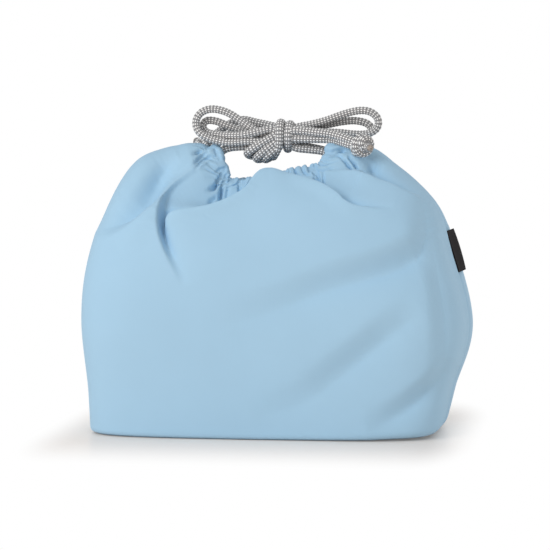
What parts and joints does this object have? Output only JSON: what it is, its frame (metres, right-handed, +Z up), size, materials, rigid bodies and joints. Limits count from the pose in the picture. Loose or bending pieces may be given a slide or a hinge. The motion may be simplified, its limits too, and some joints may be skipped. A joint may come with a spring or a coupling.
{
  "type": "drawstring lunch bag",
  "caption": "Soft cloth drawstring pouch for a lunch box, with a flat base, a gathered casing at the mouth and doubled cords tied over it in a bow.",
  "frame": {"origin": "middle of the base panel, on the surface the bag stands on", "axes": "+Z up, +X along the bag's length to the right as seen from its front, +Y to its back"},
  "size_m": [0.2068, 0.111, 0.1748],
  "materials": {
    "cloth": "matt smooth knit",
    "casing_cloth": "matt smooth knit",
    "seam_tape": "woven tape",
    "braid": "braided white and dark grey yarn",
    "label_ribbon": "woven ribbon"
  },
  "bodies": {
    "pouch": {"base_panel": "cloth", "front_panel": "cloth", "back_panel": "cloth", "base_seam_tape": "seam_tape", "left_seam_tape": "seam_tape", "right_seam_tape": "seam_tape", "front_casing": "casing_cloth", "back_casing": "casing_cloth", "left_cord_run": "braid", "right_cord_run": "braid", "left_lead_front": "braid", "left_lead_back": "braid", "right_lead_front": "braid", "right_lead_back": "braid"},
    "bow": {"bow_knot": "braid"},
    "left_loops": {"left_loop_front": "braid", "left_loop_back": "braid"},
    "right_loops": {"right_loop_front": "braid", "right_loop_back": "braid"},
    "left_tail": {"left_tail_upper": "braid", "left_tail_lower": "braid", "left_end_knot": "braid"},
    "right_tail": {"right_tail_upper": "braid", "right_tail_lower": "braid", "right_end_knot": "braid"},
    "label": {"side_label": "label_ribbon"}
  },
  "joints": [
    {"name": "bow_lift", "type": "slide", "parent": "pouch", "child": "bow", "axis": [0, 0, 1], "range_m": [0, 0.015], "deforming": ["left_lead_front", "left_lead_back", "right_lead_front", "right_lead_back"]},
    {"name": "left_loops_lift", "type": "hinge", "parent": "bow", "child": "left_loops", "pos_m": [0.004, 0, 0.1585], "axis": [0, 1, 0], "range_deg": [0, 55]},
    {"name": "right_loops_lift", "type": "hinge", "parent": "bow", "child": "right_loops", "pos_m": [0.004, 0, 0.1585], "axis": [0, -1, 0], "range_deg": [0, 55]},
    {"name": "left_tail_swing", "type": "hinge", "parent": "bow", "child": "left_tail", "pos_m": [0.004, 0, 0.1585], "axis": [0, 0, 1], "range_deg": [-35, 0]},
    {"name": "right_tail_swing", "type": "hinge", "parent": "bow", "child": "right_tail", "pos_m": [0.004, 0, 0.1585], "axis": [0, 0, 1], "range_deg": [-35, 0]},
    {"name": "label_fold", "type": "hinge", "parent": "pouch", "child": "label", "pos_m": [0.09582, 0, 0.09729], "axis": [-0.293, 0, 0.9561], "range_deg": [-140, 5]}
  ]
}
